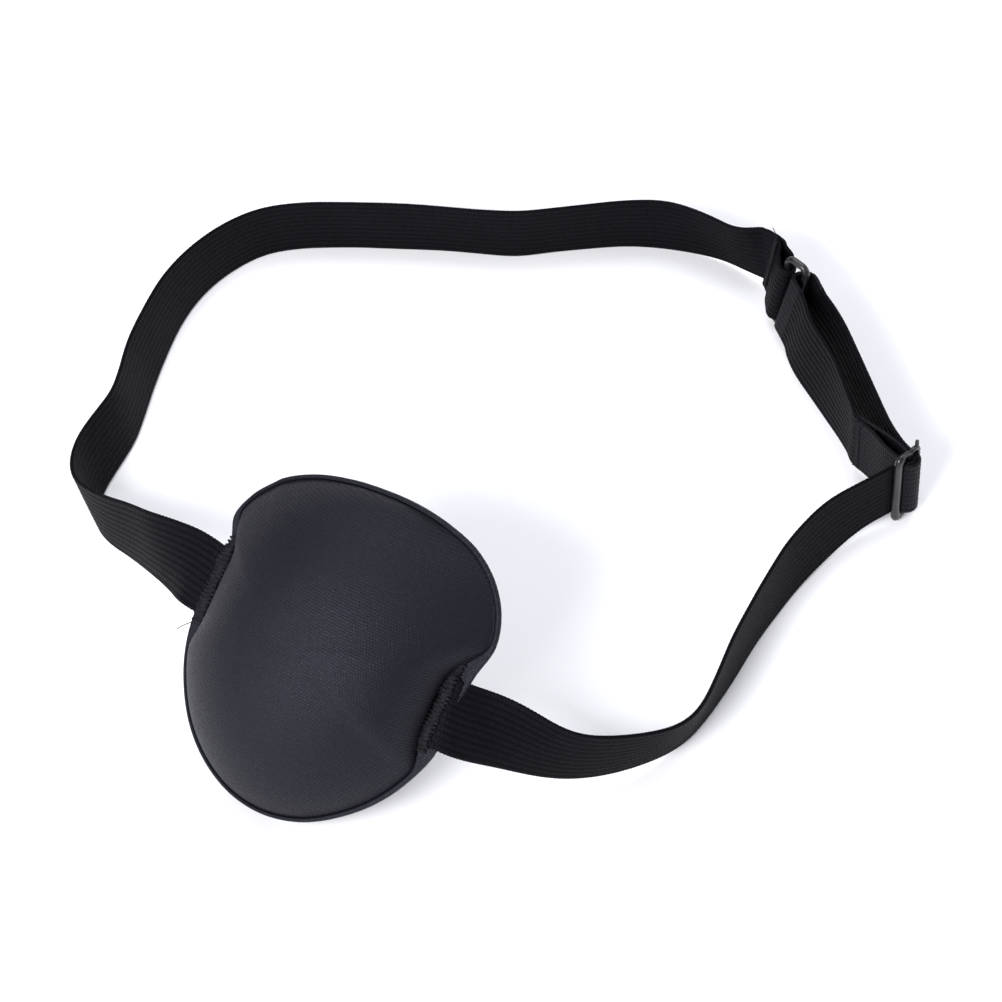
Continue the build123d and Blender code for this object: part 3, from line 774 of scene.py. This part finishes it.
def floor_material():
    n = Nodes("table_top")
    place = n.object_place()
    tone = n.noise(place, 3.0, 2.0, 0.5)
    grit = n.noise(place, 700.0, 2.0, 0.5)
    return n.finish(
        n.colour(tone, (0.86, 0.86, 0.89), (0.885, 0.885, 0.91)),
        n.math("MULTIPLY_ADD", tone, 0.1, 0.75), n.bump(grit, 0.02, 0.0001),
        Specular_IOR_Level=0.2,
    )


def paint(obj, material):
    obj.data.materials.clear()
    obj.data.materials.append(material)
    return obj


# ---- Build the pieces ------------------------------------------------------------------
knit = knit_material("patch_knit", (0.0002, 0.0002, 0.0005), (0.0034, 0.0034, 0.0072))
lining = knit_material("lining_knit", (0.0005, 0.0005, 0.0008), (0.010, 0.010, 0.013), loop=0.8, gloss=0.1)
foam = foam_material("foam_edge", (0.0006, 0.0006, 0.0009), (0.006, 0.006, 0.008))
gap_colour = (0.0002, 0.0002, 0.0004)
elastic = webbing_material("ribbed_elastic", gap_colour, (0.0042, 0.0040, 0.0064))
# A lighter copy of the ribbed elastic for the pieces bent round the slider and the ring: its paler colour is
# painted light on those folds, while its fainter dashes and weft grid are the knit's texture there.
elastic_bent_painted_lit = webbing_material(
    "ribbed_elastic_bent_painted_lit", gap_colour, (0.006, 0.0057, 0.0082), dashes=0.7, grid=0.8, gloss=0.14,
)
stitching = thread_material("stitching_thread", (0.0006, 0.0006, 0.001), (0.012, 0.012, 0.018))
nylon = nylon_material("black_nylon")

cover = paint(front_cover(), knit)
cup = paint(foam_cup(), foam)
back = paint(back_lining(), lining)
for piece, node, slot in (
    (cover, "front_cover", "cover"), (cup, "foam_cup", "foam"), (back, "back_lining", "lining"),
):
    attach(piece, ROOT)
    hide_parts(node)

# Loose thread ends: points across, along and above in the seam's own frame, and a radius.
RIGHT_ENDS = [
    ([(0.6, 9.8, 1.2), (1.6, 11.2, 1.6), (2.6, 12.6, 1.4), (3.4, 13.2, 0.6),
      (3.5, 12.2, -0.4), (2.6, 11.0, 0.2)], 0.10),
    ([(0.9, 9.4, 1.0), (2.2, 10.4, 0.6), (3.0, 11.6, 0.2), (2.4, 12.6, 0.0)], 0.08),
]
LEFT_ENDS = [([(-0.6, -9.6, 1.0), (-1.6, -10.6, 0.8), (-2.6, -11.8, 1.2), (-3.2, -12.9, 1.8)], 0.10)]
seam_right = patch_seam("patch_stitching_right", 1, RIGHT_ENDS)
seam_left = patch_seam("patch_stitching_left", -1, LEFT_ENDS)

seam_z = RIM_TOP + WEB_THICK / 2 + 0.05


def sewn_stations(side):
    return [
        (PATCH.at(side * reach, -WEB_WIDTH / 2, seam_z), -PATCH_TILT)
        for reach in (STRAP_END_U, 28.4, 30.2, 32.0)
    ]


# Long strap: from under the left seam round to the ring, and folded round the ring's bar.
outer_y = -SEWN_LOOP_OFFSET - WEB_THICK / 2
inner_y = -SEWN_LOOP_OFFSET + WEB_THICK / 2
strap_rows = edge_and_across(
    sewn_stations(-1) + free_stations(LONG_STRAP)
    + [(LOOP.at(SEWN_LOOP_LONG + 2.2, outer_y - 0.4, LOOP_WEB_Z), 0.0)], -1,
)
strap_rows = list(eased(smooth_through(strap_rows, CURVE_STEP), 2.0))
loop_path = [(SEWN_LOOP_LONG, outer_y), (SEWN_LOOP_LONG - 2.0, outer_y - 0.2), (3.2, -2.1), (1.4, -1.85)]
loop_path += arc(-0.15, 0, FOLD_R, -90, -180)
loop_path += [(1.8, 1.2), (4.0, 0.6), (SEWN_LOOP_LONG - 1.8, inner_y + 0.12)]
loop_path += [(SEWN_LOOP_LONG, inner_y), (SEWN_LOOP_LONG + 1.0, inner_y)]
strap_rows += flat_rows(LOOP, loop_path, LOOP_WEB_Z)
long_strap = webbing("long_strap_webbing", smooth_through(strap_rows, CURVE_STEP), 0.0, RUN_WANDER, 1)

# Adjustable strap: from under the right seam to the slider.
front_rows = edge_and_across(sewn_stations(1) + free_stations(FRONT_STRAP), 1)
front_rows += flat_rows(SLIDER, [(-5.6, 1.45), (-4.62, 1.25)], SLIDER_WEB_Z)
front_rows = eased(smooth_through(front_rows, CURVE_STEP), 3.0)
front_strap = webbing("front_strap_webbing", front_rows, 0.0, RUN_WANDER, 2)

# Held by the slider: under its front bar and over its middle bar.
wrap_path = [(-4.6, 1.24), (-4.0, FRONT_WRAP_R)] + arc(-SLIDER_PITCH, 0, FRONT_WRAP_R, 90, -90)
wrap_path += arc(0, 0, WRAP_R, 180, 180, 20)[1:] + [(WRAP_R, 0.45)]
wrap_rows = smooth_through(flat_rows(SLIDER, wrap_path, SLIDER_WEB_Z), 0.2)
wrap = webbing("slider_wrap_webbing", wrap_rows, 130.0, HELD_WANDER, 3)

# From the slider out to the ring.
outer_rows = flat_rows(SLIDER, [(WRAP_R, 0.5), (WRAP_R + 0.05, 1.4)], SLIDER_WEB_Z)
far = -RETURN_LEG - RUN_GAP
outer_rows += edge_and_across(
    free_stations(OUTER_RUN) + [(RETURN.at(far - 1.5, -RETURN_R, RETURN_WEB_Z), RETURN_LEAN)], 1,
)
outer_rows += flat_rows(RETURN, [(far - 0.5, -RETURN_R), (far + 0.3, -RETURN_R)], RETURN_WEB_Z)
outer_rows = eased(smooth_through(outer_rows, CURVE_STEP), 3.5)
outer = webbing("outer_run_webbing", outer_rows, 145.0, RUN_WANDER, 4)

# Held by the ring: loosely round its other bar.
turn_path = [(far + 0.33, -RETURN_R), (-2.0, -RETURN_R)]
half, middle = (RETURN_WIDE + RETURN_R) / 2, (RETURN_WIDE - RETURN_R) / 2
turn_path += [(x * 0.92, middle + y * half / RETURN_R) for x, y in arc(0, 0, RETURN_R, -90, 180, 18)]
turn_path += [(-2.0, RETURN_WIDE), (far + 0.33, RETURN_WIDE)]
turn_rows = smooth_through(flat_rows(RETURN, turn_path, RETURN_WEB_Z), 0.25)
turn = webbing("ring_turn_webbing", turn_rows, 200.0, HELD_WANDER, 5)

# From the ring back to the tail's seam.
away = TAIL_LONG + 1.0 + RUN_GAP
inner_rows = flat_rows(SLIDER, [(TAIL_OFFSET - 0.3, away - 1.4), (TAIL_OFFSET - 0.1, away)], SLIDER_WEB_Z)
inner_rows += edge_and_across(
    free_stations(INNER_RUN) + [(RETURN.at(far - 1.5, RETURN_WIDE, RETURN_WEB_Z), RETURN_LEAN)], 1,
)
inner_rows += flat_rows(RETURN, [(far - 0.5, RETURN_WIDE), (far + 0.3, RETURN_WIDE)], RETURN_WEB_Z)
inner_rows = eased(smooth_through(inner_rows, CURVE_STEP), 3.5)
inner = webbing("inner_run_webbing", inner_rows, 215.0, RUN_WANDER, 6)

# Tail: folded round the slider's middle bar.
left_x, right_x = TAIL_OFFSET - WEB_THICK / 2, TAIL_OFFSET + WEB_THICK / 2
tail_path = [(left_x - 0.05, TAIL_LONG), (left_x - 0.3, TAIL_LONG - 3.0), (-0.9, 5.0), (-TAIL_R - 0.02, 1.4)]
tail_path += arc(0, 0, TAIL_R, 180, 180, 16)
tail_path += [(TAIL_R + 0.25, 1.6), (1.9, 5.0), (right_x + 0.15, TAIL_LONG - 3.0)]
tail_path += [(right_x, TAIL_LONG), (right_x, TAIL_LONG + 0.9)]
tail_rows = smooth_through(flat_rows(SLIDER, tail_path, SLIDER_WEB_Z), 0.25)
tail = webbing("tail_loop_webbing", tail_rows, 260.0, HELD_WANDER, 7)

# Stitching that closes the two folds.
ring_threads = fold_seam(
    "ring_loop_stitching", LOOP, SEWN_LOOP_LONG - 0.2, inner_y + WEB_THICK / 2, 180.0, 1.7,
    [([(0.3, 7.0, 0.2), (0.6, 8.2, 0.5), (0.2, 9.4, 0.9), (-0.5, 10.2, 1.4)], 0.09)],
)
tail_threads = fold_seam(
    "tail_stitching", Frame(SLIDER.at(0, 0, SLIDER_WEB_Z + WEB_WIDTH / 2), SLIDER.x, SLIDER.z),
    left_x - WEB_THICK / 2 - 0.06, TAIL_LONG, 90.0, 1.5,
    [
        ([(0.2, 7.0, 0.2), (0.9, 8.0, 0.6), (1.6, 8.6, 0.2), (1.4, 8.0, -0.6), (0.6, 7.4, -0.4)], 0.09),
        ([(-0.3, 7.0, 0.1), (-1.6, 7.6, -0.6), (-3.2, 7.8, -1.4),
          (-4.6, 8.6, -1.2), (-5.2, 9.6, -0.8)], 0.07),
    ],
)

# ---- Materials, bodies and the CAD nodes that the pieces stand for ---------------------
for piece in (long_strap, front_strap, outer, inner):
    paint(piece, elastic)
# The pieces bent round the slider and the ring take the lighter elastic copy, whose paler colour is painted
# light.
for piece in (wrap, turn, tail):
    paint(piece, elastic_bent_painted_lit)
for piece in (seam_left, seam_right, ring_threads, tail_threads):
    paint(piece, stitching)

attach(seam_left, ROOT)
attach(seam_right, ROOT)
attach(ring_threads, ROOT)
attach(tail_threads, SLIDER_BODY)
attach(long_strap, ROOT)
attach(wrap, SLIDER_BODY)
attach(tail, SLIDER_BODY)

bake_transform(front_strap)
near_ring = RETURN.at(far - 3.0, 0)
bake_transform(outer)
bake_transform(inner)
RETURN.at(-0.6, 0) * MM
RETURN.at(far + 0.3, 0) * MM
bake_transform(turn)

for piece, nodes in (
    (seam_left, ["patch_seam_left"]), (seam_right, ["patch_seam_right"]), (ring_threads, ["ring_seam"]),
    (tail_threads, ["tail_seam"]), (long_strap, ["long_strap"]),
    (front_strap, ["strap_front_run", "strap_feed_run"]), (wrap, ["strap_slider_wrap"]),
    (outer, ["strap_outer_run"]), (turn, ["strap_ring_return"]), (inner, ["strap_inner_run"]),
    (tail, ["strap_tail_loop"]),
):
    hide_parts(*nodes)

slider_piece = paint(moulded_slider(), nylon)
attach(slider_piece, SLIDER_BODY)
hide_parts("slider")
paint(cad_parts["ring"], nylon)

# ---- Stage, light and camera -----------------------------------------------------------
mesh = bpy.data.meshes.new("floor")
corners = ((-1, -1), (1, -1), (1, 1), (-1, 1))
FLOOR_HALF, FLOOR_DROP = 4.0, 5e-5
mesh.from_pydata([(x * FLOOR_HALF, y * FLOOR_HALF, -FLOOR_DROP) for x, y in corners], [], [(0, 1, 2, 3)])
floor = bpy.data.objects.new("floor", mesh)
bpy.context.scene.collection.objects.link(floor)
paint(floor, floor_material())

world = bpy.data.worlds.new("studio")
bpy.context.scene.world = world
world.use_nodes = True
world.node_tree.nodes["Background"].inputs[0].default_value = (0.93, 0.94, 1.0, 1)
world.node_tree.nodes["Background"].inputs[1].default_value = 0.36

target = placed(0, 0, 0) * MM


def soft_light(name, place, size, power, colour=(1, 1, 1)):
    """A rectangular area light that looks at the object's middle."""
    data = bpy.data.lights.new(name, "AREA")
    data.shape = "RECTANGLE"
    data.size, data.size_y = size
    data.energy = power
    data.color = colour
    light = bpy.data.objects.new(name, data)
    bpy.context.scene.collection.objects.link(light)
    light.location = place
    away_from = light.location - type(light.location)(target)
    light.rotation_euler = away_from.to_track_quat("Z", "Y").to_euler()


soft_light("key", (-0.69, -0.96, 0.86), (0.7, 0.7), 30.0)
soft_light("top", (0.1, 0.75, 1.5), (1.6, 1.2), 24.0, (0.97, 0.98, 1.0))
soft_light("right", (1.3, 0.1, 0.7), (0.6, 0.5), 4.0)

VIEW_ELEVATION = math.radians(50.0)
VIEW_DISTANCE = 1.25
FOCAL_LENGTH = 215.57
camera_data = bpy.data.cameras.new("camera")
camera_data.sensor_width = 36.0
camera_data.lens = FOCAL_LENGTH
camera_data.clip_start, camera_data.clip_end = 0.05, 20.0
camera = bpy.data.objects.new("camera", camera_data)
bpy.context.scene.collection.objects.link(camera)
back_dir = np.array([0.0, -math.cos(VIEW_ELEVATION), math.sin(VIEW_ELEVATION)])
camera.location = target + back_dir * VIEW_DISTANCE
camera.rotation_euler = (math.pi / 2 - VIEW_ELEVATION, 0.0, 0.0)
bpy.context.scene.camera = camera
bpy.context.scene.view_settings.view_transform = "Standard"
